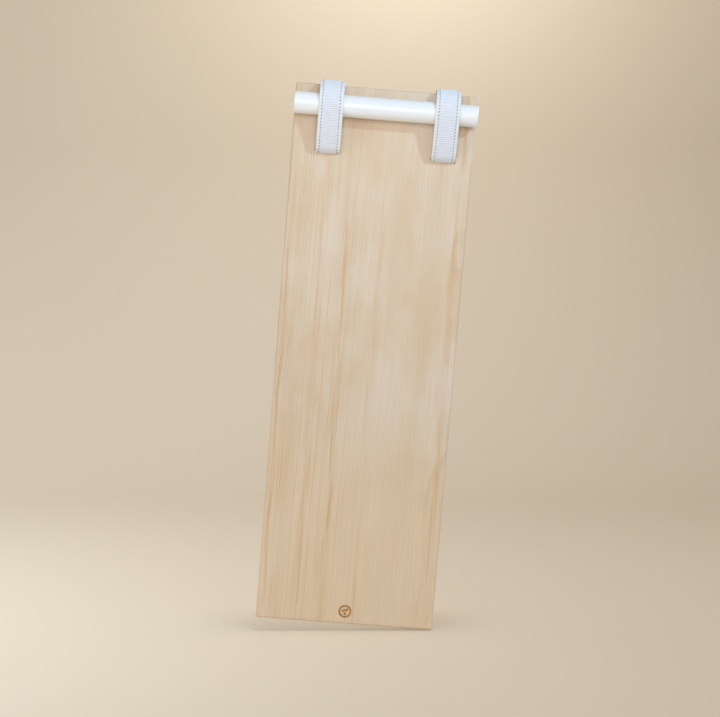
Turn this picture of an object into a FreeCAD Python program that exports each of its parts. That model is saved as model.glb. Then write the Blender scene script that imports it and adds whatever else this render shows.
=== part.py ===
"""Seesaw board for a children's climbing frame.

A flat wooden board stands on its foot edge. Two sewn strap loops wrap its upper end, each
through one slot in the board, and hold a round cross bar against the front face. The bar
is the pivot: a frame holds the bar, and the board rocks about it.

Frame: +X to the right across the board, the front face towards -Y, +Z up the length. The
origin is the middle of the flat foot edge.
"""

import FreeCAD, Part
import math
import os
import Sketcher

V = FreeCAD.Vector

# ---------------------------------------------------------------- driving dimensions, mm
DIMENSIONS = {
    "board_width": 300,
    "board_thickness": 18,
    "board_length": 900,
    "board_edge": 4,
    "bar_diameter": 36,
    "bar_drop": 33.5,
    "bar_edge": 1.5,
    "running_gap": 0.35,
    "strap_spacing": 190,
    "strap_shift": 5.3,
    "strap_width": 40,
    "strap_thickness": 2.2,
    "arch_rise": 5.4,
    "leave_angle": 12,
    "steep_angle": 26,
    "back_bend": 9,
    "slot_drop": 110,
    "slot_width": 43,
    "slot_height": 5.6,
    "slot_shift": -1,
    "slot_corner": 1.5,
    "slot_edge": 1.5,
    "slot_bend": 5,
    "band_width": 31,
    "band_thickness": 0.8,
    "band_start": 32,
    "band_in_slot": 8,
    "thread_spacing": 29,
    "thread_width": 0.8,
    "thread_height": 0.3,
    "upper_screw_drop": 42,
    "lower_screw_drop": 88,
    "screw_spacing": 20,
    "strap_end_margin": 14,
    "screw_length": 14,
    "screw_diameter": 3.5,
    "head_diameter": 7,
    "head_height": 2.2,
    "head_inset": 0.2,
    "point_length": 2.5,
    "point_radius": 0.3,
    "recess_width": 3.6,
    "recess_slot": 0.8,
    "recess_depth": 1.1,
    "pilot_diameter": 3.6,
    "pilot_depth": 12,
    "strap_hole_diameter": 4.2,
    "washer_diameter": 12,
    "washer_top_diameter": 8.6,
    "washer_height": 2.4,
    "seat_clearance": 0.25,
    "mark_diameter": 22,
    "mark_line": 3,
    "mark_depth": 0.4,
    "mark_centre": 22,
    "plank_length": 11.2,
    "plank_thickness": 3.6,
    "plank_rise": 1.8,
    "plank_tilt": 18,
    "dot_diameter": 4.6,
    "dot_drop": 4.2,
}

SIDES = {"left": -1, "right": 1}
TOUCH = 1e-6

doc = FreeCAD.newDocument("seesaw")
sheet = doc.addObject("Spreadsheet::Sheet", "dimensions")
for row, (alias, value) in enumerate(DIMENSIONS.items(), start=1):
    sheet.set(f"A{row}", alias)
    sheet.set(f"B{row}", str(value))
    sheet.setAlias(f"B{row}", alias)
doc.recompute()


def size(alias):
    """A driving dimension, read back from the sheet."""
    return float(sheet.get(alias))


# ------------------------------------------------------------------ document helpers
def plane(body, role):
    """One of a body's own origin planes."""
    return next(f for f in body.Origin.OriginFeatures if f.Role == role)


def new_body(label):
    body = doc.addObject("PartDesign::Body", label)
    body.Label = label
    return body


def new_sketch(body, name, role, shift=V(0, 0, 0)):
    """A sketch on an origin plane; shift moves it in the plane's own axes."""
    sketch = body.newObject("Sketcher::SketchObject", name)
    sketch.AttachmentSupport = [(plane(body, role), "")]
    sketch.MapMode = "FlatFace"
    sketch.AttachmentOffset = FreeCAD.Placement(shift, FreeCAD.Rotation())
    return sketch


def new_pad(body, name, sketch, length):
    """A pad spread evenly about its sketch, with its length bound to the sheet."""
    pad = body.newObject("PartDesign::Pad", name)
    pad.Profile = sketch
    pad.SideType = "Symmetric"
    pad.setExpression("Length", length)
    doc.recompute()
    return pad


def new_pocket(body, name, sketch, length=None, reverse=False):
    """A pocket of a bound depth, or right through when no length is given."""
    before = body.Shape.Volume
    pocket = body.newObject("PartDesign::Pocket", name)
    pocket.Profile = sketch
    if length is None:
        pocket.Type = "ThroughAll"
        pocket.SideType = "Symmetric"
    else:
        pocket.Reversed = reverse
        pocket.setExpression("Length", length)
    doc.recompute()
    if not body.Shape.Volume < before - TOUCH:
        raise RuntimeError(f"{body.Label}: {name} cuts nothing")
    return pocket


def new_fillet(body, name, feature, radius, wanted):
    """Round the edges of a feature that the test picks out."""
    edges = [f"Edge{i}" for i, edge in enumerate(feature.Shape.Edges, start=1) if wanted(edge)]
    fillet = body.newObject("PartDesign::Fillet", name)
    fillet.Base = (feature, edges)
    fillet.setExpression("Radius", radius)
    doc.recompute()
    return fillet


def add_loop(sketch, edges):
    """Add edges that already meet end to end."""
    for edge in edges:
        sketch.addGeometry(edge, False)


def circle(x, y, radius):
    return Part.Circle(V(x, y, 0), V(0, 0, 1), radius)


def rounded_rectangle(x, y, width, height, radius):
    """The eight edges of a rectangle with round corners, centred on x, y."""
    edges = []
    corners = [(1, 1), (-1, 1), (-1, -1), (1, -1)]
    for quarter, (sx, sy) in enumerate(corners):
        centre = V(x + sx * (width / 2 - radius), y + sy * (height / 2 - radius), 0)
        start = quarter * math.pi / 2
        arc = Part.ArcOfCircle(Part.Circle(centre, V(0, 0, 1), radius), start, start + math.pi / 2)
        edges.append(arc)
    joined = []
    for arc, following in zip(edges, edges[1:] + edges[:1]):
        joined.append(arc)
        if (following.StartPoint - arc.EndPoint).Length > TOUCH:
            joined.append(Part.LineSegment(arc.EndPoint, following.StartPoint))
    return joined


# ------------------------------------------------------------------ places worked out once
FRONT = -size("board_thickness") / 2
BACK = size("board_thickness") / 2
TOP = size("board_length")
BAR_RADIUS = size("bar_diameter") / 2
BAR_Y = FRONT - size("running_gap") - BAR_RADIUS
BAR_Z = TOP - size("bar_drop")
SLOT_Z = TOP - size("slot_drop")
SCREW_ROWS = [TOP - size("upper_screw_drop"), TOP - size("lower_screw_drop")]
SCREW_COLUMNS = [-size("screw_spacing") / 2, size("screw_spacing") / 2]


def strap_centre(side):
    """A strap's middle across the board. The pair sits a little to the right of the middle."""
    return side * size("strap_spacing") / 2 + size("strap_shift")


def strap_place(side):
    """The same as an expression on the sheet."""
    return f"{side} * dimensions.strap_spacing / 2 + dimensions.strap_shift"


# ------------------------------------------------------------------ board
def build_board():
    body = new_body("board")
    outline = new_sketch(body, "board_outline", "XZ_Plane")
    half = size("board_width") / 2
    corners = [V(-half, 0, 0), V(half, 0, 0), V(half, TOP, 0), V(-half, TOP, 0)]
    add_loop(outline, [Part.LineSegment(a, b) for a, b in zip(corners, corners[1:] + corners[:1])])
    slab = new_pad(body, "board_slab", outline, "dimensions.board_thickness")
    new_fillet(body, "board_eased_edges", slab, "dimensions.board_edge", lambda edge: True)

    slots = new_sketch(body, "strap_slots", "XZ_Plane")
    for side in SIDES.values():
        height = size("slot_height")
        x = strap_centre(side) + size("slot_shift")
        add_loop(slots, rounded_rectangle(x, SLOT_Z, size("slot_width"), height, size("slot_corner")))
    slotted = new_pocket(body, "strap_slot_cuts", slots)

    def on_slot_mouth(edge):
        box = edge.BoundBox
        on_a_face = box.YLength < TOUCH and abs(abs(box.YMin) - BACK) < TOUCH
        return on_a_face and abs(box.Center.z - SLOT_Z) < size("slot_height")

    new_fillet(body, "slot_mouths", slotted, "dimensions.slot_edge", on_slot_mouth)

    pilots = new_sketch(body, "pilot_circles", "XZ_Plane", V(0, 0, -BACK))
    for side in SIDES.values():
        for column in SCREW_COLUMNS:
            for z in SCREW_ROWS:
                x = strap_centre(side) + column
                pilots.addGeometry(circle(x, z, size("pilot_diameter") / 2), False)
    new_pocket(body, "pilot_holes", pilots, "dimensions.pilot_depth", reverse=True)

    mark = new_sketch(body, "mark_lines", "XZ_Plane", V(0, 0, -FRONT))
    draw_mark(mark, size("mark_centre"))
    new_pocket(body, "mark_engraving", mark, "dimensions.mark_depth")
    return body


def draw_mark(sketch, z):
    """A ring round a tilted plank that stands over a dot."""
    ring = size("mark_diameter") / 2
    sketch.addGeometry(circle(0, z, ring), False)
    sketch.addGeometry(circle(0, z, ring - size("mark_line")), False)
    sketch.addGeometry(circle(0, z - size("dot_drop"), size("dot_diameter") / 2), False)
    tilt = math.radians(size("plank_tilt"))
    along = V(math.cos(tilt), math.sin(tilt), 0) * (size("plank_length") / 2)
    across = V(-math.sin(tilt), math.cos(tilt), 0) * (size("plank_thickness") / 2)
    middle = V(0, z + size("plank_rise"), 0)
    corners = [middle + along * sx + across * sy for sx, sy in [(-1, -1), (1, -1), (1, 1), (-1, 1)]]
    add_loop(sketch, [Part.LineSegment(a, b) for a, b in zip(corners, corners[1:] + corners[:1])])


# ------------------------------------------------------------------ cross bar
def build_cross_bar():
    body = new_body("cross_bar")
    section = new_sketch(body, "bar_section", "YZ_Plane")
    section.addGeometry(circle(BAR_Y, BAR_Z, BAR_RADIUS), False)
    section.addConstraint(Sketcher.Constraint("Diameter", 0, size("bar_diameter")))
    section.setExpression("Constraints[0]", "dimensions.bar_diameter")
    rod = new_pad(body, "bar_rod", section, "dimensions.board_width")
    new_fillet(body, "bar_end_edges", rod, "dimensions.bar_edge",
               lambda edge: edge.BoundBox.XLength < TOUCH)
    return body


# ------------------------------------------------------------------ strap route
def bends_to_slot(drop, reach, leave, steep):
    """Radii of the long bend and the short curl that bring a strap from the bar to its slot.

    The long bend turns the strap from leave to steep, the curl from steep to level, and
    together they must fall by drop and come back by reach.
    """
    a = math.cos(leave) - math.cos(steep)
    b = math.cos(steep)
    c = math.sin(steep) - math.sin(leave)
    d = 1 - math.sin(steep)
    scale = a * d - b * c
    return (reach * d - b * drop) / scale, (a * drop - c * reach) / scale


def strap_route():
    """The strap's middle line, seen from +X: from its upper end up the board's back, over
    the top, round the bar's front, down into the slot and up the back to its lower end.
    """
    half = size("strap_thickness") / 2
    back_y = BACK + half
    peak_z = TOP + size("arch_rise")
    upper_end_z = SCREW_ROWS[0] - size("strap_end_margin")
    lower_end_z = SCREW_ROWS[1] + size("strap_end_margin")
    back_bend = size("back_bend")
    slot_bend = size("slot_bend")
    band_start = size("band_start")
    in_slot = size("band_in_slot")

    leave = math.radians(size("leave_angle"))
    steep = math.radians(size("steep_angle"))
    touch = BAR_RADIUS + size("running_gap") + half
    rise = peak_z - BAR_Z
    arch = (rise + touch * math.sin(leave)) / (1 + math.sin(leave))
    arch_y = BAR_Y + (arch - touch) * math.cos(leave)
    contact = V(0, BAR_Y - touch * math.cos(leave), BAR_Z - touch * math.sin(leave))
    long_bend, curl = bends_to_slot(contact.z - SLOT_Z, FRONT - contact.y, leave, steep)

    return V(0, back_y, upper_end_z), [
        ("run", band_start),
        ("run", peak_z - back_bend - upper_end_z - band_start),
        ("bend", back_bend, 90),
        ("run", back_y - back_bend - arch_y),
        ("bend", arch, 90 + math.degrees(leave)),
        ("bend", long_bend, math.degrees(steep - leave)),
        ("bend", curl, 90 - math.degrees(steep)),
        ("run", in_slot),
        ("run", back_y - slot_bend - FRONT - in_slot),
        ("bend", slot_bend, 90),
        ("run", lower_end_z - SLOT_Z - slot_bend),
    ]


BANDED = slice(1, 8)
START, ROUTE = strap_route()


def walk(start, route):
    """Each piece of a route with the point and heading where it begins, and its end point.

    The route starts straight up and every bend turns it to the left, seen from +X.
    """
    point = start
    heading = math.pi / 2
    for piece in route:
        ahead = V(0, math.cos(heading), math.sin(heading))
        if piece[0] == "run":
            end = point + ahead * piece[1]
            yield piece, point, heading, end
        else:
            left = V(0, -math.sin(heading), math.cos(heading))
            centre = point + left * piece[1]
            turned = heading + math.radians(piece[2])
            end = centre + V(0, math.sin(turned), -math.cos(turned)) * piece[1]
            yield piece, point, heading, end
            heading = turned
        point = end


def ribbon(low, high, part=slice(None)):
    """The closed outline between two offsets of the route, in a sketch's own x and y.

    Offsets count from the middle line to the outside of the loop.
    """
    def side(offset):
        edges = []
        for piece, point, heading, end in list(walk(START, ROUTE))[part]:
            if piece[0] == "run":
                out = V(0, math.sin(heading), -math.cos(heading)) * offset
                a, b = point + out, end + out
                edges.append(Part.LineSegment(V(a.y, a.z, 0), V(b.y, b.z, 0)))
            else:
                left = V(0, -math.sin(heading), math.cos(heading))
                centre = point + left * piece[1]
                around = Part.Circle(V(centre.y, centre.z, 0), V(0, 0, 1), piece[1] + offset)
                first = heading - math.pi / 2
                edges.append(Part.ArcOfCircle(around, first, first + math.radians(piece[2])))
        return edges

    inner, outer = side(low), side(high)
    caps = [Part.LineSegment(inner[0].StartPoint, outer[0].StartPoint),
            Part.LineSegment(inner[-1].EndPoint, outer[-1].EndPoint)]
    return inner + outer + caps


def ribbon_body(label, outline, width, place_x):
    """A ribbon's outline padded across the board and set at place_x, both bound to cells."""
    body = new_body(label)
    profile = new_sketch(body, label + "_side", "YZ_Plane")
    add_loop(profile, outline)
    new_pad(body, label + "_pad", profile, width)
    body.setExpression("Placement.Base.x", place_x)
    return body


def build_strap(side_name, side):
    """The plain strap, with the holes for its four screws."""
    half = size("strap_thickness") / 2
    strap = ribbon_body(side_name + "_strap", ribbon(-half, half), "dimensions.strap_width",
                        strap_place(side))
    holes = new_sketch(strap, side_name + "_strap_holes", "XZ_Plane", V(0, 0, -BACK))
    for column in SCREW_COLUMNS:
        for z in SCREW_ROWS:
            holes.addGeometry(circle(column, z, size("strap_hole_diameter") / 2), False)
    new_pocket(strap, side_name + "_strap_hole_cuts", holes, "dimensions.strap_thickness * 1.5")
    return strap


def build_band(side_name, side):
    """The ribbed band sewn along the strap's outside."""
    half = size("strap_thickness") / 2
    outline = ribbon(half, half + size("band_thickness"), BANDED)
    return ribbon_body(side_name + "_ribbed_band", outline, "dimensions.band_width",
                       strap_place(side))


def build_stitching(side_name, side, row_name, row):
    """One row of sewing thread, lying on the band beside its edge."""
    low = size("strap_thickness") / 2 + size("band_thickness")
    outline = ribbon(low, low + size("thread_height"), BANDED)
    place = strap_place(side) + f" + {row} * dimensions.thread_spacing / 2"
    label = f"{side_name}_strap_{row_name}_stitching"
    return ribbon_body(label, outline, "dimensions.thread_width", place)


# ------------------------------------------------------------------ screws and cup washers
def primitive(kind, name, **bound):
    """A Part primitive whose sizes are bound to the sheet."""
    thing = doc.addObject("Part::" + kind, name)
    for prop, expression in bound.items():
        thing.setExpression(prop, expression)
    return thing


def lay_along_y(thing, x, y, z):
    """Turn a primitive's own +Z to -Y, into the board, and set its foot at a point."""
    turn = FreeCAD.Rotation(V(1, 0, 0), 90)
    thing.Placement = FreeCAD.Placement(V(x, y, z), turn)


def boolean(kind, name, base, tool):
    thing = doc.addObject("Part::" + kind, name)
    thing.Base = base
    thing.Tool = tool
    return thing


def build_screw(name, x, z):
    """A countersunk wood screw with a cross recess, its head just inside its washer."""
    head_y = BACK + size("strap_thickness") + size("washer_height") - size("head_inset")
    shank_radius = "dimensions.screw_diameter / 2"
    head = primitive("Cone", name + "_head", Radius1="dimensions.head_diameter / 2",
                     Radius2=shank_radius, Height="dimensions.head_height")
    shank = primitive("Cylinder", name + "_shank", Radius=shank_radius,
                      Height="dimensions.screw_length - dimensions.point_length")
    point = primitive("Cone", name + "_point", Radius1=shank_radius,
                      Radius2="dimensions.point_radius", Height="dimensions.point_length")
    lay_along_y(head, x, head_y, z)
    lay_along_y(shank, x, head_y, z)
    lay_along_y(point, x, head_y - size("screw_length") + size("point_length"), z)
    blank = doc.addObject("Part::MultiFuse", name + "_blank")
    blank.Shapes = [head, shank, point]
    arms = []
    for arm, (across, up) in {"level": ("recess_width", "recess_slot"),
                              "upright": ("recess_slot", "recess_width")}.items():
        box = primitive("Box", f"{name}_{arm}_recess", Length=f"dimensions.{across}",
                        Width="dimensions.recess_depth * 1.1", Height=f"dimensions.{up}")
        box.Placement.Base = V(x - size(across) / 2, head_y - size("recess_depth"), z - size(up) / 2)
        arms.append(box)
    cross = boolean("Fuse", name + "_recess", *arms)
    return boolean("Cut", name, blank, cross)


def build_washer(name, x, z):
    """A cup washer: a low cone with a hole shaped for the screw's head."""
    top_y = BACK + size("strap_thickness") + size("washer_height")
    head_radius = "dimensions.head_diameter / 2 + dimensions.seat_clearance"
    shank_radius = "dimensions.screw_diameter / 2 + dimensions.seat_clearance"
    cup = primitive("Cone", name + "_cup", Radius1="dimensions.washer_top_diameter / 2",
                    Radius2="dimensions.washer_diameter / 2", Height="dimensions.washer_height")
    seat = primitive("Cone", name + "_seat", Radius1=head_radius, Radius2=shank_radius,
                     Height="dimensions.head_height")
    hole = primitive("Cylinder", name + "_hole", Radius=shank_radius,
                     Height="dimensions.washer_height")
    mouth = primitive("Cylinder", name + "_mouth", Radius=head_radius,
                      Height="dimensions.head_inset")
    lay_along_y(cup, x, top_y, z)
    lay_along_y(seat, x, top_y - size("head_inset"), z)
    lay_along_y(hole, x, top_y, z)
    lay_along_y(mouth, x, top_y, z)
    hollow = doc.addObject("Part::MultiFuse", name + "_hollow")
    hollow.Shapes = [seat, hole, mouth]
    return boolean("Cut", name, cup, hollow)


def build_fixings(side_name, side, kind, build):
    """The four screws or washers of one strap, as one group of separate solids."""
    group = doc.addObject("Part::Compound", f"{side_name}_strap_{kind}")
    members = []
    for end, z in zip(("upper", "lower"), SCREW_ROWS):
        for place, column in zip(("a", "b"), SCREW_COLUMNS):
            name = f"{side_name}_{end}_{kind}_{place}"
            members.append(build(name, strap_centre(side) + column, z))
    group.Links = members
    return group


# ------------------------------------------------------------------ the whole object
parts = [build_board(), build_cross_bar()]
for side_name, side in SIDES.items():
    parts.append(build_strap(side_name, side))
    parts.append(build_band(side_name, side))
    parts.append(build_stitching(side_name, side, "outer", side))
    parts.append(build_stitching(side_name, side, "inner", -side))
    parts.append(build_fixings(side_name, side, "washers", build_washer))
    parts.append(build_fixings(side_name, side, "screws", build_screw))
doc.recompute()

for thing in doc.Objects:
    if "Invalid" in thing.State or "Error" in thing.State:
        raise RuntimeError(f"{thing.Label} failed: {thing.State}")
for part in parts:
    if part.Shape.isNull() or not part.Shape.isValid():
        raise RuntimeError(f"{part.Label} has no valid shape")

for piece in ROUTE:
    if piece[0] == "bend":
        print(f"strap bend of radius {piece[1]:.1f} mm turns {piece[2]:.0f} degrees")

os.makedirs("parts", exist_ok=True)
for part in parts:
    part.Shape.exportStep(f"parts/{part.Label}.step")
    box = part.Shape.BoundBox
    print(f"{part.Label}: {len(part.Shape.Solids)} solid(s), {part.Shape.Volume / 1000:.2f} cm3, "
          f"x {box.XMin:.1f}..{box.XMax:.1f} y {box.YMin:.1f}..{box.YMax:.1f} "
          f"z {box.ZMin:.1f}..{box.ZMax:.1f}")
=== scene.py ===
# %% [markdown]
# # A wooden seesaw board, its pivot bar and two sewn strap loops
#
# The real thing is simple: a flat board of pale, straight-grained wood, a white painted
# rod that lies across its upper end, and two webbing loops that tie the rod to the board.
# The board, the rod, the screws and their cup washers have their true shapes already, so
# they only need finishes. The straps, the ribbed bands and the sewing are soft things, and
# they get new meshes here. Everything is in metres: +X runs to the right across the board,
# -Y comes out of its front face and +Z runs up its length.

# %% Load the solid parts
import math

import bpy
import numpy as np
from mathutils import Matrix, Vector


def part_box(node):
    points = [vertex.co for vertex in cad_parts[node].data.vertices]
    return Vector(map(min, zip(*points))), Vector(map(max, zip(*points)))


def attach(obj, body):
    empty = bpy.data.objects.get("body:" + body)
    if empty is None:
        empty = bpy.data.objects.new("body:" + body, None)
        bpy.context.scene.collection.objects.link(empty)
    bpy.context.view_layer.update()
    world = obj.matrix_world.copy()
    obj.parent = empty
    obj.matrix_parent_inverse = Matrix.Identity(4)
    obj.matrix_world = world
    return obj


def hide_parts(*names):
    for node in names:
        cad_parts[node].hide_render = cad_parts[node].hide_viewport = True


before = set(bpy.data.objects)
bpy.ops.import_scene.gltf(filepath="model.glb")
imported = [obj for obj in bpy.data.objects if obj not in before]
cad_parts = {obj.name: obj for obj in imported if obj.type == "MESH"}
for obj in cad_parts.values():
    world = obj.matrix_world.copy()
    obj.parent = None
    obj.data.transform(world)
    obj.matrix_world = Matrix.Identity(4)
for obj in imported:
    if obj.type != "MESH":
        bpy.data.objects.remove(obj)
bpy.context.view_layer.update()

# %% [markdown]
# ## Places that everything else hangs on
#
# A maker measures from the board's faces and edges, so the script does too. Each place is
# read from the box round a solid part: the board's faces, the rod's middle and radius, and
# how far the plain strap reaches over the top and down to its slot.

# %% Read the places from the parts
mm = 0.001
board_low, board_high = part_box("board")
bar_low, bar_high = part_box("cross_bar")
strap_low, strap_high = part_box("right_strap")
band_low, band_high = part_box("right_ribbed_band")

front, back, top = board_low.y, board_high.y, board_high.z
bar_radius = (bar_high.z - bar_low.z) / 2
bar_y, bar_z = (bar_low.y + bar_high.y) / 2, (bar_low.z + bar_high.z) / 2
strap_thickness = strap_high.y - back
strap_width = strap_high.x - strap_low.x
band_width = band_high.x - band_low.x
band_thickness = strap_low.z - band_low.z
print(f"strap {strap_width / mm:.1f} x {strap_thickness / mm:.1f} mm,",
      f"band {band_width / mm:.1f} x {band_thickness / mm:.1f} mm")

# %% [markdown]
# ## The way a strap runs
#
# A strap starts low on the board's back, climbs over the top edge, goes round the front of
# the rod, falls away from it in a long soft curve, and tucks through a slot to the back
# again. Seen from the side, that line is only straight runs and round bends that touch
# each other, and every bend turns the same way. So a short list of lengths and radii says
# it all, and a point anywhere on the line can be worked out from its distance along it.
# The two angles, the two small bends, and where the strap and its sewing end are the
# maker's own choices.

# %% List the runs and bends of the strap's middle line
half_thickness = strap_thickness / 2
running_gap = front - (bar_y + bar_radius)
back_line = back + half_thickness
peak = strap_high.z - half_thickness
slot_line = strap_low.z + half_thickness
leave, steep = math.radians(12), math.radians(26)
back_bend, slot_bend = 9 * mm, 5 * mm
sewn_from, slot_run = 32 * mm, 8 * mm
upper_end, lower_end = top - 56 * mm, top - 74 * mm


def arch_over_bar():
    """The arch touches a circle round the rod, low on its front, and peaks at the strap's top.

    Its radius is (rise + touch sin a) / (1 + sin a), with a the angle at which it leaves.
    """
    touch = bar_radius + running_gap + half_thickness
    radius = (peak - bar_z + touch * math.sin(leave)) / (1 + math.sin(leave))
    middle_y = bar_y + (radius - touch) * math.cos(leave)
    contact = (bar_y - touch * math.cos(leave), bar_z - touch * math.sin(leave))
    return radius, middle_y, contact


def bends_to_slot(drop, reach):
    """The long bend and the short curl that fall by drop while they come back by reach.

    The long bend turns from leave to steep, the curl from steep to level. Each radius
    times its turn's sine and cosine gives its share of the drop and the reach.
    """
    turn = np.array([[math.cos(leave) - math.cos(steep), math.cos(steep)],
                     [math.sin(steep) - math.sin(leave), 1 - math.sin(steep)]])
    return np.linalg.solve(turn, [reach, drop])


arch, arch_y, contact = arch_over_bar()
long_bend, curl = bends_to_slot(contact[1] - slot_line, front - contact[0])
route = [(peak - back_bend - upper_end, 0),
         (back_bend, 90),
         (back_line - back_bend - arch_y, 0),
         (arch, 90 + math.degrees(leave)),
         (long_bend, math.degrees(steep - leave)),
         (curl, 90 - math.degrees(steep)),
         (back_line - slot_bend - front, 0),
         (slot_bend, 90),
         (lower_end - slot_line - slot_bend, 0)]
print("bend radii in mm:", [round(size / mm, 1) for size, turn in route if turn])

# %% [markdown]
# ## From a distance along the strap to a point in space
#
# On a bend the heading grows evenly with the distance walked, and on a run it stays. That
# makes the whole line a small table: where each stretch begins, its heading there and how
# fast it turns. The function below looks up the stretch for a whole array of distances at
# once, so thousands of points cost no more code than one.

# %% Turn distances into points
turns = np.radians([turn for size, turn in route])
lengths = np.array([size * math.radians(turn) if turn else size for size, turn in route])
starts = np.concatenate([[0], np.cumsum(lengths)])
headings = math.pi / 2 + np.concatenate([[0], np.cumsum(turns)])[:-1]
bending = turns / lengths
strap_length = starts[-1]


def walk(distance, heading, bend):
    """How far a walk goes in y and z while its heading changes evenly.

    With no bend that is distance times the heading's cosine and sine. On a bend it is the
    difference of the sines, and of the cosines, over the bending.
    """
    curved = np.where(bend == 0, 1, bend)
    end = heading + bend * distance
    y = np.where(bend == 0, distance * np.cos(heading), (np.sin(end) - np.sin(heading)) / curved)
    z = np.where(bend == 0, distance * np.sin(heading), (np.cos(heading) - np.cos(end)) / curved)
    return np.stack([y, z], axis=-1)


steps = walk(lengths, headings, bending)
corners = np.array([back_line, upper_end]) + np.concatenate([[[0, 0]], np.cumsum(steps, axis=0)])


def on_route(along):
    """The middle line's points (y, z) and outward directions at distances along the strap."""
    stretch = np.clip(np.searchsorted(starts, along, side="right") - 1, 0, len(lengths) - 1)
    past = along - starts[stretch]
    point = corners[stretch] + walk(past, headings[stretch], bending[stretch])
    heading = headings[stretch] + bending[stretch] * past
    outward = np.stack([np.sin(heading), -np.cos(heading)], axis=-1)
    return point, outward


slot_entry = starts[6]
sewn_to = slot_entry + slot_run
print(f"strap length {strap_length / mm:.0f} mm,",
      f"sewn from {sewn_from / mm:.0f} to {sewn_to / mm:.0f} mm")


def carry(along, across, lift, middle_x):
    """A surface carried along the route.

    Its point is the middle line's point, plus lift times the outward direction, with x the
    strap's middle plus across. The three arrays have one shape, and a last axis is added.
    """
    point, outward = on_route(along)
    place = point + outward * lift[..., None]
    return np.concatenate([(middle_x + across)[..., None], place], axis=-1)


# %% [markdown]
# ## One way to make every mesh
#
# Each soft piece is a grid of points, or many small grids. This helper takes the points as
# rows and columns, joins them into four-sided faces, and writes them to a mesh in one go.
# The pattern on cloth has to follow the cloth, so each grid also carries a UV map whose
# numbers are real metres along and across the piece.

# %% Make a mesh from grids of points
def grid_faces(rows, columns, round_columns=False):
    """The four corner numbers of every cell of a grid.

    With round_columns the last column is joined to the first, which closes a tube.
    """
    last_column = columns if round_columns else columns - 1
    r, c = np.meshgrid(np.arange(rows - 1), np.arange(last_column), indexing="ij")
    r_next, c_next = r + 1, (c + 1) % columns
    cells = np.stack([r * columns + c, r * columns + c_next,
                      r_next * columns + c_next, r_next * columns + c], axis=-1)
    return cells.reshape(-1, 4)


def make_piece(name, points, faces, uv=None, material=None):
    """A smooth-shaded object at the origin, with its place in its mesh."""
    mesh = bpy.data.meshes.new(name)
    mesh.vertices.add(len(points))
    mesh.vertices.foreach_set("co", points.astype(np.float32).ravel())
    mesh.loops.add(faces.size)
    mesh.loops.foreach_set("vertex_index", faces.astype(np.int32).ravel())
    mesh.polygons.add(len(faces))
    mesh.polygons.foreach_set("loop_start", np.arange(0, faces.size, 4, dtype=np.int32))
    mesh.update(calc_edges=True)
    mesh.shade_smooth()
    if uv is not None:
        layer = mesh.uv_layers.new(name="metres")
        layer.data.foreach_set("uv", uv[faces.ravel()].astype(np.float32).ravel())
    mesh.validate()
    piece = bpy.data.objects.new(name, mesh)
    bpy.context.scene.collection.objects.link(piece)
    if material is not None:
        mesh.materials.append(material)
    return piece


# %% [markdown]
# ## Small helpers for materials
#
# A material is a handful of nodes joined by wires. Three short functions keep the recipes
# below readable: one adds a node and fills its inputs, one starts a material, and one
# starts a node group with named inputs and outputs, for an effect that several materials
# share.

# %% Node helpers
def add(tree, kind, settings=None, **inputs):
    """Add a node. An input is a number or colour to set, or another node's output to join."""
    node = tree.nodes.new(kind)
    for key, value in (settings or {}).items():
        setattr(node, key, value)
    for key, value in inputs.items():
        plug = node.inputs[int(key[1:])] if key[0] == "n" and key[1:].isdigit() \
            else node.inputs[key.replace("_", " ")]
        if isinstance(value, bpy.types.NodeSocket):
            tree.links.new(value, plug)
        else:
            plug.default_value = value
    return node


def calc(tree, operation, *values):
    """One step of arithmetic."""
    inputs = {f"n{index}": value for index, value in enumerate(values)}
    return add(tree, "ShaderNodeMath", {"operation": operation}, **inputs).outputs[0]


def ramp(tree, value, low, high, to_low=0.0, to_high=1.0):
    """A smooth step from to_low to to_high as value goes from low to high."""
    node = add(tree, "ShaderNodeMapRange", {"interpolation_type": "SMOOTHSTEP"},
               n0=value, n1=low, n2=high, n3=to_low, n4=to_high)
    return node.outputs[0]


def blend(tree, share, first, second, mode="MIX"):
    """Two colours mixed by a share."""
    node = add(tree, "ShaderNodeMix", {"data_type": "RGBA", "blend_type": mode},
               n0=share, n6=first, n7=second)
    return node.outputs[2]


def noise(tree, vector, scale, detail=2.0, roughness=0.5):
    """Soft noise about one half."""
    return add(tree, "ShaderNodeTexNoise", Vector=vector, Scale=scale, Detail=detail,
               Roughness=roughness).outputs["Fac"]


def stretch(tree, vector, x, y, z):
    """A vector with each axis scaled by its own number."""
    return add(tree, "ShaderNodeVectorMath", {"operation": "MULTIPLY"},
               n0=vector, n1=(x, y, z)).outputs[0]


def new_group(name, inputs, outputs):
    """An empty node group with its named inputs, their first values, and its outputs."""
    group = bpy.data.node_groups.new(name, "ShaderNodeTree")
    for label, value in inputs.items():
        kind = "NodeSocketVector" if value is None else "NodeSocketFloat"
        plug = group.interface.new_socket(label, in_out="INPUT", socket_type=kind)
        if value is not None:
            plug.default_value = value
    for label in outputs:
        group.interface.new_socket(label, in_out="OUTPUT", socket_type="NodeSocketFloat")
    plugs = group.nodes.new("NodeGroupInput").outputs
    results = group.nodes.new("NodeGroupOutput").inputs
    return group, plugs, results


def use(tree, group, **inputs):
    """Place a shared group in a material, with its own values."""
    return add(tree, "ShaderNodeGroup", {"node_tree": group}, **inputs).outputs


def new_material(name, **plain):
    """A material and its shader, with the values that are the same all over it."""
    material = bpy.data.materials.new(name)
    material.use_nodes = True
    tree = material.node_tree
    shader = tree.nodes["Principled BSDF"]
    for key, value in plain.items():
        shader.inputs[key.replace("_", " ")].default_value = value
    return material, tree, shader


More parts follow.
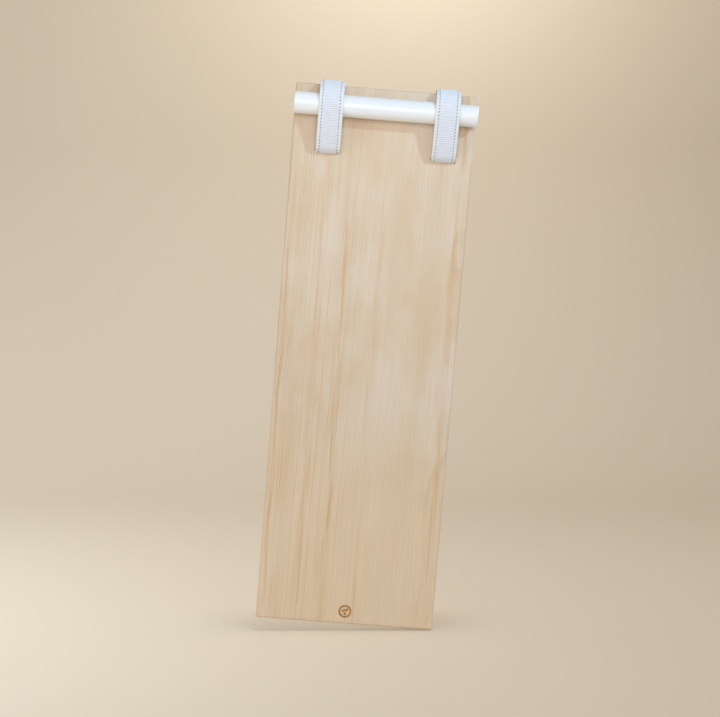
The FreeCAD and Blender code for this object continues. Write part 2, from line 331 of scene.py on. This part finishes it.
def join(tree, output, plug):
    """Wire an output to an input."""
    tree.links.new(output, plug)


# %% [markdown]
# ## Shared effect: mottle
#
# Nothing real has exactly one colour. Paint dries in thin and thick places, cloth is
# handled, metal dulls. The mottle gives two soft noises, broad patches and fine specks,
# and every finish uses it with its own sizes.

# %% Build the mottle group
mottle, plugs, results = new_group("Mottle", {"Vector": None, "Size": 0.02, "Fine size": 0.002},
                                   ["Patches", "Specks"])
broad = noise(mottle, plugs["Vector"], calc(mottle, "DIVIDE", 1.0, plugs["Size"]), 3.0)
fine = noise(mottle, plugs["Vector"], calc(mottle, "DIVIDE", 1.0, plugs["Fine size"]), 2.0)
join(mottle, ramp(mottle, broad, 0.3, 0.7), results["Patches"])
join(mottle, ramp(mottle, fine, 0.3, 0.7), results["Specks"])

# %% [markdown]
# ## Shared effect: weave
#
# Webbing, band and thread are all yarn. The weave crosses two rows of round yarns: each
# row is a sine along one direction, and a checker decides which row lies on top. The
# The inputs are the yarn pitches in metres, so one group serves coarse webbing and fine band.
# Besides the yarn's height, it gives a mask for painted shade in the gaps between yarns.

# %% Build the weave group
weave, plugs, results = new_group(
    "Weave", {"Vector": None, "Pitch along": 0.0012, "Pitch across": 0.0012}, ["Height", "Gap shade"])
place = add(weave, "ShaderNodeSeparateXYZ", Vector=plugs["Vector"]).outputs
along = calc(weave, "DIVIDE", place["X"], plugs["Pitch along"])
across = calc(weave, "DIVIDE", place["Y"], plugs["Pitch across"])
hills = [calc(weave, "ABSOLUTE", calc(weave, "SINE", calc(weave, "MULTIPLY", value, math.pi)))
         for value in (along, across)]
row_sum = calc(weave, "ADD", calc(weave, "FLOOR", along), calc(weave, "FLOOR", across))
on_top = calc(weave, "MODULO", calc(weave, "ADD", row_sum, 1000.0), 2.0)
over = calc(weave, "MULTIPLY", hills[0], on_top)
under = calc(weave, "MULTIPLY", hills[1], calc(weave, "SUBTRACT", 1.0, on_top))
crossing = calc(weave, "MULTIPLY", hills[0], hills[1])
yarn = calc(weave, "ADD", calc(weave, "ADD", over, under), crossing)
height = calc(weave, "MULTIPLY", yarn, 0.5)
join(weave, height, results["Height"])
# Painted shade: this mask is high where the yarn lies low, in the gaps between yarns.
join(weave, ramp(weave, height, 0.35, 0.05), results["Gap shade"])

# %% [markdown]
# ## Shared effect: growth rings and fibres
#
# A plank is a slice through a tree. Each year's ring is a long, slightly wavy tube round
# the heart of the trunk, so the distance to the heart line, divided by the ring width,
# counts the years. Cut the tubes far from the heart and they give fine straight lines. Cut
# them where they lie flat, over the heart, and they give pointed flames. The trunk tapers,
# so the flames all point the same way. Towards the plank's edges the fibres wander more.
# Working in three dimensions means that the edges and end grain agree with the face, as
# they do on a real plank.

# %% Build the timber group
timber, plugs, results = new_group(
    "Timber", {"Vector": None, "Heart X": 0.142, "Heart Y": 0.055, "Ring width": 0.0036,
               "Taper": 0.022, "Swell": 0.0022, "Swell length": 0.31, "Waver": 0.016},
    ["Late wood", "Ring tone", "Fibres", "Pores"])
place = add(timber, "ShaderNodeSeparateXYZ", Vector=plugs["Vector"]).outputs
slow = noise(timber, stretch(timber, plugs["Vector"], 3, 3, 5.5), 1.0, 1.0)
half_board = board_high.x
to_edge = calc(timber, "DIVIDE", calc(timber, "ABSOLUTE", place["X"]), half_board)
off_middle = calc(timber, "POWER", to_edge, 2.0)
drift = calc(timber, "MULTIPLY", calc(timber, "SUBTRACT", slow, 0.5), plugs["Waver"])
waver = calc(timber, "MULTIPLY", drift, calc(timber, "ADD", off_middle, 0.15))
swell_turn = calc(timber, "MULTIPLY", calc(timber, "DIVIDE", place["Z"], plugs["Swell length"]),
                  2 * math.pi)
wave = calc(timber, "MULTIPLY", calc(timber, "SINE", swell_turn), plugs["Swell"])
swell = calc(timber, "ADD", wave, calc(timber, "MULTIPLY", place["Z"], plugs["Taper"]))
from_heart_x = calc(timber, "ADD", calc(timber, "SUBTRACT", place["X"], plugs["Heart X"]), waver)
from_heart_y = calc(timber, "SUBTRACT",
                    calc(timber, "SUBTRACT", place["Y"], plugs["Heart Y"]), swell)
square = [calc(timber, "MULTIPLY", value, value) for value in (from_heart_x, from_heart_y)]
distance = calc(timber, "SQRT", calc(timber, "ADD", *square))
year = calc(timber, "DIVIDE", distance, plugs["Ring width"])
uneven = noise(timber, stretch(timber, plugs["Vector"], 60, 60, 4), 1.0, 2.0)
year = calc(timber, "ADD", year, calc(timber, "MULTIPLY", uneven, 0.8))
season = calc(timber, "FRACT", year)
hard_line = calc(timber, "MULTIPLY",
                 ramp(timber, season, 0.3, 0.88), ramp(timber, season, 1.0, 0.9))
ring_number = calc(timber, "FLOOR", year)
ring_tone = add(timber, "ShaderNodeTexWhiteNoise", {"noise_dimensions": "1D"}, W=ring_number)
join(timber, hard_line, results["Late wood"])
join(timber, ring_tone.outputs["Value"], results["Ring tone"])
fibres = noise(timber, stretch(timber, plugs["Vector"], 420, 420, 7), 1.0, 3.0, 0.65)
join(timber, ramp(timber, fibres, 0.3, 0.7), results["Fibres"])
pores = noise(timber, stretch(timber, plugs["Vector"], 1100, 1100, 40), 1.0, 1.0)
join(timber, ramp(timber, pores, 0.62, 0.74), results["Pores"])

# %% [markdown]
# ## The board's finish
#
# The board is pale wood under a clear matt lacquer. Its base is cream, late wood is a
# touch browner, and broad flushes of warmer wood come and go. The lower end is warmer
# still. Five tan streaks follow the fibres: three in the left half, a faint one right of
# the middle and one by the right edge. Each streak is a narrow band round its own line,
# broken up along its length by noise and across it by the fibres. Ring lines are strongest
# in the left half and near the edges.

# %% Mix the board's wood
wood, tree, shader = new_material("Pale lacquered wood", IOR=1.45,
                                  Coat_Weight=0.1, Coat_Roughness=0.4)
place = add(tree, "ShaderNodeTexCoord").outputs["Object"]
spot = add(tree, "ShaderNodeSeparateXYZ", Vector=place).outputs
grain = use(tree, timber, Vector=place)
patch = use(tree, mottle, Vector=stretch(tree, place, 1, 1, 0.35), Size=0.055, Fine_size=0.004)
flush = noise(tree, stretch(tree, place, 7, 7, 4.5), 1.0, 3.0, 0.6)
line_strength = noise(tree, stretch(tree, place, 30, 30, 9), 1.0, 3.0, 0.6)
cream, pale = (0.725, 0.580, 0.430, 1), (0.775, 0.658, 0.550, 1)
tan, foot_tan = (0.710, 0.510, 0.335, 1), (0.815, 0.610, 0.415, 1)
streak_tan, ring_brown = (0.67, 0.435, 0.235, 1), (0.60, 0.395, 0.225, 1)
fibre_brown, pore_brown = (0.63, 0.465, 0.315, 1), (0.55, 0.39, 0.25, 1)
colour = blend(tree, patch["Patches"], cream, pale)
colour = blend(tree, ramp(tree, flush, 0.48, 0.66, 0.0, 0.6), colour, tan)
low_end = ramp(tree, spot["Z"], 0.42, 0.14, 0.0, 0.6)
colour = blend(tree, low_end, colour, foot_tan)

slow = noise(tree, stretch(tree, place, 2, 2, 6), 1.0)
wander = calc(tree, "MULTIPLY", calc(tree, "SUBTRACT", slow, 0.5), 22 * mm)
threads = ramp(tree, grain["Fibres"], 0.0, 1.0, 0.35, 1.15)
streak_noise = noise(tree, stretch(tree, place, 70, 70, 5), 1.0, 3.0, 0.6)
wandering_x = calc(tree, "ADD", spot["X"], wander)
streaks = [(-141 * mm, 4 * mm, 1.0), (-86 * mm, 9 * mm, 0.7), (-44 * mm, 12 * mm, 1.0),
           (12 * mm, 6 * mm, 0.5), (134 * mm, 8 * mm, 0.95)]
for streak_x, half_width, share in streaks:
    aside = calc(tree, "ABSOLUTE", calc(tree, "SUBTRACT", wandering_x, streak_x))
    band = ramp(tree, aside, half_width, 0.1 * half_width)
    broken = calc(tree, "MULTIPLY", ramp(tree, streak_noise, 0.40, 0.62, 0.0, share), threads)
    colour = blend(tree, calc(tree, "MULTIPLY", band, broken), colour, streak_tan)

lined = calc(tree, "ADD", ramp(tree, spot["X"], 0.03, -0.05, 0.4, 1.15),
             ramp(tree, calc(tree, "ABSOLUTE", spot["X"]), 0.11, 0.142, 0.0, 0.6))
late = calc(tree, "MULTIPLY", calc(tree, "MULTIPLY", grain["Late wood"], lined),
            calc(tree, "MULTIPLY", ramp(tree, line_strength, 0.36, 0.64, 0.15, 0.85),
                 calc(tree, "ADD", calc(tree, "MULTIPLY", grain["Ring tone"], 0.7), 0.1)))
colour = blend(tree, late, colour, ring_brown)
colour = blend(tree, calc(tree, "MULTIPLY", grain["Fibres"], 0.26), colour, fibre_brown)
colour = blend(tree, calc(tree, "MULTIPLY", grain["Pores"], 0.22), colour, pore_brown)

# %% [markdown]
# Near the foot there is a small burnt mark: a ring round a plank on a dot. The mark is cut
# into the board, so the burn is found by depth: inside a small circle, whatever lies under
# the front face is scorched. Its floor is toasted, its walls are nearly black, and a faint
# halo of heat lies round it.

# %% Burn the mark
mark_z, mark_radius, mark_depth = 22 * mm, 11 * mm, 0.4 * mm
up_from_mark = calc(tree, "SUBTRACT", spot["Z"], mark_z)
from_mark = calc(tree, "SQRT", calc(tree, "ADD", calc(tree, "MULTIPLY", spot["X"], spot["X"]),
                                    calc(tree, "MULTIPLY", up_from_mark, up_from_mark)))
near_mark = ramp(tree, from_mark, mark_radius + 1.5 * mm, mark_radius + 0.5 * mm)
sunk = ramp(tree, spot["Y"], front + 0.02 * mm, front + 0.08 * mm)
side_wall = ramp(tree, spot["Y"],
                 front + mark_depth - 0.01 * mm, front + mark_depth - 0.06 * mm)
facing = ramp(tree, spot["Y"], 0.0, front / 2)
near_face = calc(tree, "MULTIPLY", near_mark, facing)
halo = calc(tree, "MULTIPLY",
            ramp(tree, from_mark, mark_radius + 2 * mm, mark_radius - mm, 0.0, 0.22), facing)
warmed, char = (0.60, 0.36, 0.15, 1), (0.12, 0.05, 0.015, 1)
colour = blend(tree, halo, colour, warmed)
toast = blend(tree, patch["Specks"], (0.52, 0.25, 0.07, 1), (0.40, 0.175, 0.05, 1))
burn = blend(tree, side_wall, toast, char)
colour = blend(tree, calc(tree, "MULTIPLY", near_face, sunk), colour, burn)
join(tree, colour, shader.inputs["Base Color"])
join(tree, ramp(tree, grain["Fibres"], 0.0, 1.0, 0.50, 0.60), shader.inputs["Roughness"])
relief = calc(tree, "SUBTRACT", calc(tree, "MULTIPLY", grain["Late wood"], 0.4),
              calc(tree, "ADD", calc(tree, "MULTIPLY", grain["Fibres"], 0.3), grain["Pores"]))
bump = add(tree, "ShaderNodeBump", Strength=0.25, Distance=0.00012, Height=relief)
join(tree, bump.outputs[0], shader.inputs["Normal"])

# %% [markdown]
# ## The rod's finish
#
# The rod is wood under white satin paint. Its colour and gloss drift a little along the
# rod, as brushed paint does, and fine specks under the paint show as a trace of relief.

# %% Mix the white paint
paint, tree, shader = new_material("Satin white paint", IOR=1.5,
                                   Coat_Weight=0.25, Coat_Roughness=0.2)
place = add(tree, "ShaderNodeTexCoord").outputs["Object"]
skin = use(tree, mottle, Vector=stretch(tree, place, 0.3, 1, 1), Size=0.03, Fine_size=0.0016)
colour = blend(tree, skin["Patches"], (0.86, 0.88, 0.935, 1), (0.89, 0.905, 0.95, 1))
join(tree, colour, shader.inputs["Base Color"])
join(tree, ramp(tree, skin["Patches"], 0.0, 1.0, 0.36, 0.44), shader.inputs["Roughness"])
bump = add(tree, "ShaderNodeBump", Strength=0.12, Distance=0.00006, Height=skin["Specks"])
join(tree, bump.outputs[0], shader.inputs["Normal"])

# %% [markdown]
# ## Cloth and thread finishes
#
# The strap is off-white webbing with a close plain weave. The band sewn on it is whiter
# and finer, with a slight sheen, and its ribs are real geometry. The thread is dark. All
# three use the weave group, each with its own yarn pitch, on the UV map in metres, and all
# three get painted shade in the gaps between yarns. The band also gets painted shade between its
# ribs.

# %% Mix the webbing, the band and the thread
def mix_cloth(name, light, shade_tone, pitch_along, pitch_across, depth, shade_valleys=False, **plain):
    """Matt yarn in two close tones, with painted shade in the gaps of its weave.

    With its valley switch on, it also has painted shade between ribs, as much as the mesh's
    valley attribute says.
    """
    material, tree, shader = new_material(name, Roughness=0.85, **plain)
    place = add(tree, "ShaderNodeUVMap", {"uv_map": "metres"}).outputs["UV"]
    cloth = use(tree, weave, Vector=place, Pitch_along=pitch_along, Pitch_across=pitch_across)
    tone = use(tree, mottle, Vector=place, Size=0.012, Fine_size=0.0012)
    worn = tuple(0.94 * part for part in light[:3]) + (1,)
    colour = blend(tree, tone["Patches"], light, worn)
    # Painted shade in the gaps between yarns, in the shade tone.
    colour = blend(tree, calc(tree, "MULTIPLY", cloth["Gap shade"], 0.6), colour, shade_tone)
    if shade_valleys:
        # Painted shade between the band's ribs.
        valley_shade = add(tree, "ShaderNodeAttribute", {"attribute_name": "valley_shade"}).outputs["Fac"]
        colour = blend(tree, valley_shade, colour, shade_tone)
    join(tree, colour, shader.inputs["Base Color"])
    rough = calc(tree, "ADD", calc(tree, "MULTIPLY", cloth["Height"], 0.4),
                 calc(tree, "MULTIPLY", tone["Specks"], 0.2))
    bump = add(tree, "ShaderNodeBump", Strength=0.6, Distance=depth, Height=rough)
    join(tree, bump.outputs[0], shader.inputs["Normal"])
    return material


webbing = mix_cloth("Cream webbing", (0.84, 0.86, 0.90, 1), (0.60, 0.60, 0.62, 1),
                    1.6 * mm, 1.1 * mm, 0.25 * mm, Sheen_Weight=0.2)
ribbing = mix_cloth("White ribbed band", (0.84, 0.87, 0.97, 1), (0.62, 0.64, 0.74, 1),
                    0.8 * mm, 0.6 * mm, 0.12 * mm, shade_valleys=True, Sheen_Weight=0.35)
thread = mix_cloth("Grey sewing thread", (0.13, 0.14, 0.18, 1), (0.07, 0.08, 0.10, 1),
                   0.5 * mm, 0.4 * mm, 0.08 * mm, Sheen_Weight=0.2)

# %% [markdown]
# ## Metal finishes
#
# The cup washers are nickel plated and the screws zinc plated. Both have dull patches and
# fine specks, so their gloss varies a little.

# %% Mix the two platings
def mix_plating(name, bright, dull, gloss):
    """Plated steel with dull patches and fine specks."""
    material, tree, shader = new_material(name, Metallic=1.0)
    place = add(tree, "ShaderNodeTexCoord").outputs["Object"]
    skin = use(tree, mottle, Vector=place, Size=0.004, Fine_size=0.0004)
    join(tree, blend(tree, skin["Patches"], bright, dull), shader.inputs["Base Color"])
    rough = ramp(tree, skin["Specks"], 0.0, 1.0, gloss, gloss + 0.14)
    join(tree, rough, shader.inputs["Roughness"])
    bump = add(tree, "ShaderNodeBump", Strength=0.15, Distance=0.00002, Height=skin["Specks"])
    join(tree, bump.outputs[0], shader.inputs["Normal"])
    return material


nickel = mix_plating("Nickel plating", (0.78, 0.76, 0.72, 1), (0.66, 0.64, 0.60, 1), 0.24)
zinc = mix_plating("Zinc plating", (0.66, 0.67, 0.68, 1), (0.50, 0.51, 0.52, 1), 0.32)

# %% Give the solid parts their finishes
finishes = {"board": wood, "cross_bar": paint}
for side in ("left", "right"):
    finishes[f"{side}_strap_washers"] = nickel
    finishes[f"{side}_strap_screws"] = zinc
for node, finish in finishes.items():
    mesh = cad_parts[node].data
    mesh.materials.clear()
    mesh.materials.append(finish)

# %% [markdown]
# ## The plain strap
#
# Webbing is a flat tube of yarn: thin, with round selvedges. Its cross-section is a flat
# slot shape, and that section is carried along the route. Its selvedges are scalloped by
# the yarn. The two cut ends are sealed by heat, so the section thins to almost nothing in
# the last millimetre.

# %% Shape the strap
strap_step, sealed_end = 0.9 * mm, 0.8 * mm
scallop_depth, scallop_pitch = 0.12 * mm, 1.6 * mm


def slot_section(width, thickness, flat_columns, round_columns):
    """A closed section: two flats and two half circles, as across and lift arrays.

    Going round it clockwise, seen along the strap, makes the faces point outwards.
    """
    radius = thickness / 2
    flat = np.linspace(-1, 1, flat_columns) * (width / 2 - radius)
    turn = np.linspace(0, math.pi, round_columns + 2)[1:-1]
    across = np.concatenate([flat, width / 2 - radius + radius * np.sin(turn),
                             -flat, -(width / 2 - radius) - radius * np.sin(turn)])
    lift = np.concatenate([np.full(flat_columns, radius), radius * np.cos(turn),
                           np.full(flat_columns, -radius), -radius * np.cos(turn)])
    return across, lift


def make_strap(side, middle_x):
    """Plain webbing: the slot section at every step of the route.

    The ends thin as a quarter circle, and the scallops are the size of a sine.
    """
    across, lift = slot_section(strap_width, strap_thickness, 21, 5)
    rows = int(strap_length / strap_step)
    along = np.linspace(0, strap_length, rows)
    sealed = np.minimum(along, strap_length - along) / sealed_end
    thin = np.sqrt(1 - (1 - np.clip(sealed, 0.04, 1)) ** 2)
    s, a = np.meshgrid(along, across, indexing="ij")
    scallop = scallop_depth * np.abs(np.sin(math.pi * along / scallop_pitch))
    past_flat = np.abs(across) - strap_width / 2 + strap_thickness / 2
    edge = np.clip(past_flat / (strap_thickness / 2), 0, 1)
    a = a - np.sign(a) * edge * scallop[:, None]
    l = lift[None, :] * thin[:, None]
    points = carry(s, a, l, middle_x)
    girth = np.concatenate([[0], np.cumsum(np.hypot(np.diff(across), np.diff(lift)))])
    uv = np.stack(np.meshgrid(along, girth, indexing="ij"), axis=-1)
    faces = grid_faces(rows, len(across), round_columns=True)
    return make_piece(f"{side}_webbing_strap", points.reshape(-1, 3), faces,
                      uv.reshape(-1, 2), webbing)


# %% [markdown]
# ## The ribbed band
#
# The band is a ribbon of cross ribs, like the ribs of corduroy turned sideways. Each rib
# is a low round hill a little over three millimetres wide. Its height is a half circle
# over one pitch, and it falls away at both edges, where the band is bound and sewn down.
# Each point also keeps how deep in a valley it lies, and the finish paints shade there by that
# much.

# %% Shape the band
rib_pitch = 3.2 * mm
bound_edge = 2.4 * mm
band_base, rib_height, edge_rise = 0.2, 1.0, 0.3
band_overlap = 0.2 * mm


def make_band(side, middle_x):
    """A strip on the strap's outside whose lift is half circles along it, flat near its edges.

    Its lift is the band's thickness times: a base, plus the hill times how ribbed the
    place is, plus a small rise where it isn't ribbed.
    """
    rows_per_rib = 8
    ribs = int((sewn_to - sewn_from) / rib_pitch)
    along = np.linspace(sewn_from, sewn_to, ribs * rows_per_rib + 1)
    column = np.linspace(-1, 1, 33)
    phase = (np.arange(len(along)) % rows_per_rib) / rows_per_rib
    hill = np.sqrt(1 - (2 * phase - 1) ** 2)
    inset = np.clip((1 - np.abs(column)) * band_width / 2 / bound_edge, 0, 1)
    ribbed = np.sin(inset * math.pi / 2) ** 2
    hills, flats = hill[:, None] * ribbed[None, :], 1 - ribbed[None, :]
    lift = band_thickness * (band_base + rib_height * hills + edge_rise * flats)
    s, a = np.meshgrid(along, column * band_width / 2, indexing="ij")
    upper = carry(s, a, half_thickness + lift, middle_x)
    lower = carry(s, a, np.full_like(s, half_thickness - band_overlap), middle_x)
    points = np.concatenate([upper, lower[:, ::-1]], axis=1)
    uv = np.stack(np.meshgrid(along, np.concatenate([column, column[::-1]]) * band_width / 2,
                              indexing="ij"), axis=-1)
    faces = grid_faces(len(along), points.shape[1], round_columns=True)
    piece = make_piece(f"{side}_cross_ribbed_band", points.reshape(-1, 3), faces,
                       uv.reshape(-1, 2), ribbing)
    # Painted shade: how deep in a valley each top point lies. The band's underside gets none.
    rib_shade_depth = (1 - hill[:, None]) * ribbed[None, :] * 0.8
    valley_shade = np.concatenate([rib_shade_depth, np.zeros_like(rib_shade_depth)], axis=1)
    layer = piece.data.attributes.new("valley_shade", "FLOAT", "POINT")
    layer.data.foreach_set("value", valley_shade.astype(np.float32).ravel())
    return piece


# %% [markdown]
# ## The sewing
#
# The band is held by a row of lock stitches near each edge. A stitch is a short thread
# that comes up through a hole, lies on the cloth and goes down through the next hole. So
# it is a small arch: its height is a flat-topped hump over its length.

# %% Shape the stitches
stitch_pitch = 5.2 * mm
stitch_length = 3.7 * mm
thread_radius = 0.55 * mm


def make_stitches(side, row_name, middle_x):
    """Every stitch of a row at once: a small round section carried over a hump."""
    count = int((sewn_to - sewn_from) / stitch_pitch) - 1
    rings, corners_round = 7, 6
    first = sewn_from + ((sewn_to - sewn_from) - (count - 1) * stitch_pitch) / 2
    t = np.linspace(-1, 1, rings)
    turn = np.linspace(0, 2 * math.pi, corners_round, endpoint=False)
    number, t, turn = np.meshgrid(np.arange(count), t, turn, indexing="ij")
    taper = np.sqrt(np.clip(1.02 - t ** 4, 0, 1))
    hump = thread_radius * (0.15 - 1.6 * np.abs(t) ** 3)
    along = first + number * stitch_pitch + t * stitch_length / 2
    lift = half_thickness + 0.55 * band_thickness + hump + taper * thread_radius * np.cos(turn)
    across = taper * thread_radius * np.sin(turn)
    points = carry(along, across, lift, middle_x)
    uv = np.stack([along, turn * thread_radius], axis=-1)
    one = grid_faces(rings, corners_round, round_columns=True)
    faces = (one[None] + np.arange(count)[:, None, None] * rings * corners_round).reshape(-1, 4)
    return make_piece(f"{side}_strap_{row_name}_stitches", points.reshape(-1, 3), faces,
                      uv.reshape(-1, 2), thread)


# %% Make both loops and let them ride on the board
for side in ("left", "right"):
    low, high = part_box(f"{side}_strap")
    middle_x = (low.x + high.x) / 2
    strap = make_strap(side, middle_x)
    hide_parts(f"{side}_strap")
    band = make_band(side, middle_x)
    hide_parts(f"{side}_ribbed_band")
    loop = [strap, band]
    for row_name in ("outer", "inner"):
        node = f"{side}_strap_{row_name}_stitching"
        low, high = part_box(node)
        stitches = make_stitches(side, row_name, (low.x + high.x) / 2)
        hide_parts(node)
        loop.append(stitches)
    for piece in loop:
        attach(piece, "seesaw_board")
        print(piece.name, len(piece.data.polygons), "faces")

# %% [markdown]
# ## The studio
#
# The board stands on one corner of its foot, so in its own frame the floor leans a few
# degrees. Floor and wall are one sheet of paper that curves up behind, which hides the
# join. The paper is clear when seen from its back, so the board can be looked at from
# behind too.

# %% Set up the camera
camera_place = Vector((-0.063, -2.67, 0.717))
turn_right, look_down, roll = (math.radians(angle) for angle in (1.16, 5.65, 4.64))
ahead = Vector((math.sin(turn_right) * math.cos(look_down),
                math.cos(turn_right) * math.cos(look_down), -math.sin(look_down)))
level_right = Vector((math.cos(turn_right), -math.sin(turn_right), 0))
level_up = level_right.cross(ahead)
camera_right = math.cos(roll) * level_right + math.sin(roll) * level_up
camera_up = camera_right.cross(ahead)
turn = Matrix((camera_right, camera_up, -ahead)).transposed().to_4x4()
camera_data = bpy.data.cameras.new("studio_camera")
camera_data.sensor_width = 36
camera_data.lens = 80.1
camera = bpy.data.objects.new("studio_camera", camera_data)
bpy.context.scene.collection.objects.link(camera)
camera.matrix_world = Matrix.Translation(camera_place) @ turn
bpy.context.scene.camera = camera

# %% Make the leaning floor and its backdrop
lean = roll
floor_right = Vector((math.cos(lean), 0, math.sin(lean)))
floor_up = Vector((-math.sin(lean), 0, math.cos(lean)))
touch_point = Vector((board_high.x, 0, board_low.z))


def make_backdrop():
    """A floor that rises into a wall along a quarter circle, in the leaning frame."""
    floor_front, floor_back, sweep, wall_top = -4.0, 1.2, 0.9, 3.5
    quarter = np.linspace(0, math.pi / 2, 24)
    depth = np.concatenate([[floor_front], floor_back + sweep * np.sin(quarter),
                            [floor_back + sweep]])
    rise = np.concatenate([[0], sweep * (1 - np.cos(quarter)), [wall_top]])
    sideways = np.linspace(-4, 4, 9)
    d, w = np.meshgrid(depth, sideways, indexing="ij")
    z = np.meshgrid(rise, sideways, indexing="ij")[0]
    points = np.array(touch_point) + w[..., None] * np.array(floor_right) \
        + z[..., None] * np.array(floor_up) + d[..., None] * np.array([0, 1, 0])
    faces = grid_faces(len(depth), len(sideways))
    return make_piece("studio_floor", points.reshape(-1, 3), faces)


backdrop = make_backdrop()
paper, tree, shader = new_material("Pale studio paper", Roughness=0.9)
shader.inputs["Base Color"].default_value = (0.60, 0.512, 0.398, 1)
clear = add(tree, "ShaderNodeBsdfTransparent").outputs[0]
from_behind = add(tree, "ShaderNodeNewGeometry").outputs["Backfacing"]
one_sided = add(tree, "ShaderNodeMixShader", n0=from_behind, n1=shader.outputs[0], n2=clear)
join(tree, one_sided.outputs[0], tree.nodes["Material Output"].inputs["Surface"])
backdrop.data.materials.append(paper)

# %% [markdown]
# ## The light
#
# Most of the light is the even glow of a pale room. Four lamps light the board and leave
# the paper alone, so the board has no long shadow. A front one, a little above the rod,
# makes the board's upper end brighter than its foot, and a small cool one at the upper
# right throws the short, light shadows of the straps. One on the left and one behind keep
# the sides and the back from going dark. The paper has four lamps of its own: one overhead,
# which darkens the place where the board nearly touches the floor, one for the wall, one
# for its top and one for the floor's left. Only the overhead one of these casts shadows.

# %% Light the board and the paper
paper_only = bpy.data.collections.new("paper_only")
paper_only.objects.link(backdrop)
all_but_paper = bpy.data.collections.new("all_but_paper")
all_but_paper.objects.link(backdrop)
all_but_paper.collection_objects[0].light_linking.link_state = "EXCLUDE"


def soft_lamp(name, place, aim, size, power, tint, lights, shadow=True):
    """A square lamp that faces a point and lights one collection."""
    data = bpy.data.lights.new(name, "AREA")
    data.size, data.energy, data.color = size, power, tint
    data.use_shadow = shadow
    lamp = bpy.data.objects.new(name, data)
    bpy.context.scene.collection.objects.link(lamp)
    lamp.visible_camera = False
    lamp.light_linking.receiver_collection = lights
    direction = Vector(aim) - Vector(place)
    facing = direction.to_track_quat("-Z", "Y").to_matrix().to_4x4()
    lamp.matrix_world = Matrix.Translation(place) @ facing


soft_lamp("key_lamp", (1.67, -2.06, 2.26), (0, 0, 0.85),
          0.22, 32, (0.48, 0.80, 1.0), all_but_paper)
soft_lamp("front_lamp", (-0.05, -1.0, 1.0), (0, 0, 0.8),
          0.4, 3.2, (1.0, 0.975, 0.94), all_but_paper)
soft_lamp("left_lamp", (-1.6, -1.0, 0.4), (0, 0, 0.3),
          1.0, 4.2, (1.0, 0.98, 0.96), all_but_paper)
soft_lamp("over_lamp", (0, -0.2, 3.2), (0, 0, 0),
          0.3, 22, (1.0, 0.99, 0.96), paper_only)
soft_lamp("paper_lamp", (0, -0.3, 2.4), (0, 2.1, 0.9),
          1.5, 10, (1.0, 0.98, 0.94), paper_only, shadow=False)
soft_lamp("wall_lamp", (0.08, 1.3, 1.75), (0.08, 2.1, 1.6),
          0.3, 7, (1.0, 0.99, 0.97), paper_only, shadow=False)
soft_lamp("floor_lamp", (-1.6, -0.2, 1.3), (-1.3, 0.1, 0),
          1.2, 32, (0.74, 0.88, 1.0), paper_only, shadow=False)
soft_lamp("back_lamp", (1.3, 1.7, 1.4), (0, 0, 0.5),
          1.0, 26, (0.96, 0.98, 1.0), all_but_paper)
world = bpy.data.worlds.new("pale_room")
world.use_nodes = True
world.node_tree.nodes["Background"].inputs["Color"].default_value = (1.0, 0.978, 0.955, 1)
world.node_tree.nodes["Background"].inputs["Strength"].default_value = 0.5
bpy.context.scene.world = world
bpy.context.scene.view_settings.view_transform = "Standard"
